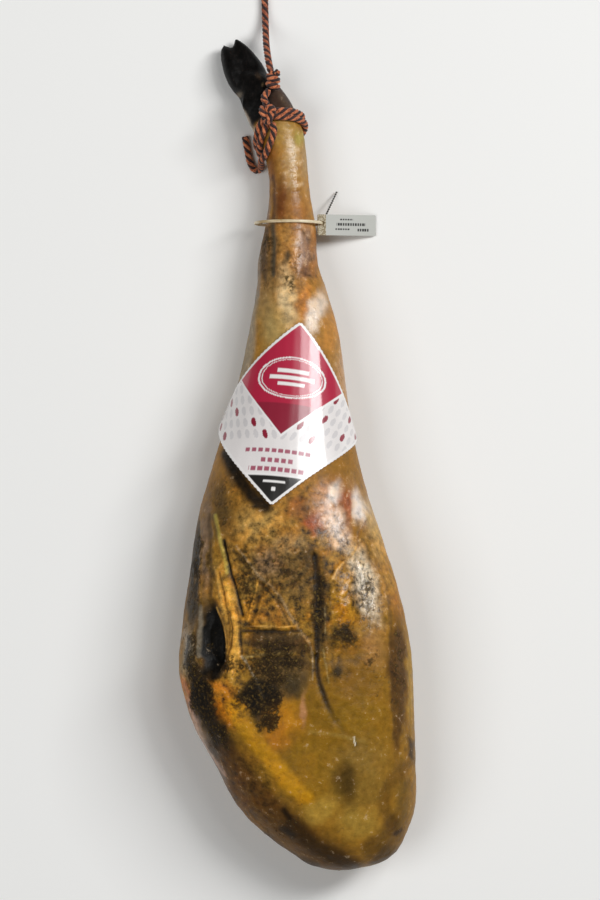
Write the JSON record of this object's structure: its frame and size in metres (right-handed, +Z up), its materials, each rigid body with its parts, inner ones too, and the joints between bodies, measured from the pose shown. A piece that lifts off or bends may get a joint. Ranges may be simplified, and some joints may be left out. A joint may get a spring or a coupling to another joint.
{
  "type": "whole cured ham with hoof and hanging cord",
  "caption": "Whole cured hind leg of pork with its black hoof, lying on its side, with a noosed two-colour hanging cord, a wrapped card label and a strap seal.",
  "frame": {"origin": "on the resting plane, under the middle of the ham's box; the hanging cord and what is on it are left out of that box", "axes": "+Y along the leg from the rump to the hoof, +X to the right of the leg seen from above with the hoof away from the viewer, +Z up from the surface the ham lies on"},
  "size_m": [0.2375, 1.018, 0.131],
  "materials": {
    "cured_skin": "oily cured skin and fat, golden brown with dark mould, black horn at the hoof",
    "laminated_card": "gloss laminated card, plain printed areas in crimson, white and black",
    "tie_plastic": "satin cream nylon",
    "tag_plastic": "satin grey-white plastic with plain printed bars",
    "twisted_cord": "four-strand twisted cord, two strands orange and two near black"
  },
  "bodies": {
    "root": {"ham_leg": "cured_skin", "label_card": "laminated_card", "seal_tie": "tie_plastic", "seal_tag": "tag_plastic", "rope_noose": "twisted_cord", "rope_knot": "twisted_cord", "rope_link": "twisted_cord", "rope_slip_knot": "twisted_cord", "rope_tail": "twisted_cord", "rope_lead": "twisted_cord", "rope_eye": "twisted_cord", "rope_eye_knot": "twisted_cord"}
  },
  "joints": []
}
